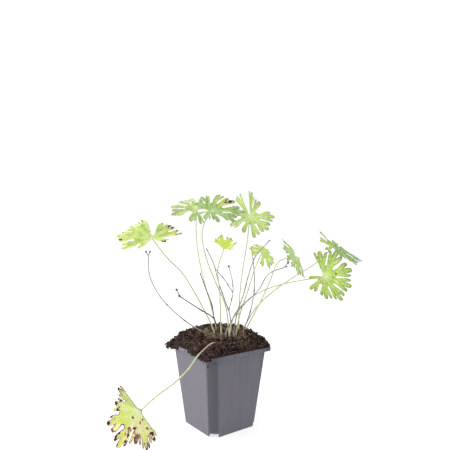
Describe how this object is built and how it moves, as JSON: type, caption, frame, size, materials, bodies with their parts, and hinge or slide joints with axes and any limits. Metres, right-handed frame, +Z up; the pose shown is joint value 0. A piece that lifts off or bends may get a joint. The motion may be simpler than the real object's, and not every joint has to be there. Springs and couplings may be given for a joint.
{
  "type": "potted cranesbill",
  "caption": "Square nursery pot of peat with a young cranesbill: deeply cut round leaves on long thin stems, bare stalks and one old leaf that hangs over the rim.",
  "frame": {"origin": "middle of the pot's flat base, on the surface that the pot stands on", "axes": "+Z up; X and Y square to the pot's sides, with the old leaf hanging over the -X and -Y corner"},
  "size_m": [0.3101, 0.2158, 0.2791],
  "materials": {
    "pot_plastic": "grey recycled plastic, slightly streaked",
    "peat": "damp dark peat with fibres",
    "crown_bark": "scaly brown crown",
    "leaf_green": "soft matt leaf, pale veins",
    "leaf_blue_green": "soft matt leaf, blue bloom",
    "leaf_young": "soft matt young leaf",
    "leaf_yellowing": "leaf turning yellow, with brown tips",
    "dry_stalk": "dry grey-brown stalk"
  },
  "bodies": {
    "root": {"pot": "pot_plastic", "soil": "peat", "crown": "crown_bark", "leaf_1": "leaf_yellowing", "leaf_2": "leaf_green", "leaf_3": "leaf_blue_green", "leaf_4": "leaf_green", "leaf_5": "leaf_young", "leaf_6": "leaf_young", "leaf_7": "leaf_blue_green", "leaf_8": "leaf_green", "leaf_9": "leaf_blue_green", "leaf_10": "leaf_yellowing", "stalk_1": "dry_stalk", "stalk_2": "dry_stalk", "stalk_3": "dry_stalk", "stalk_4": "dry_stalk", "stalk_5": "dry_stalk", "stalk_6": "dry_stalk"}
  },
  "joints": []
}
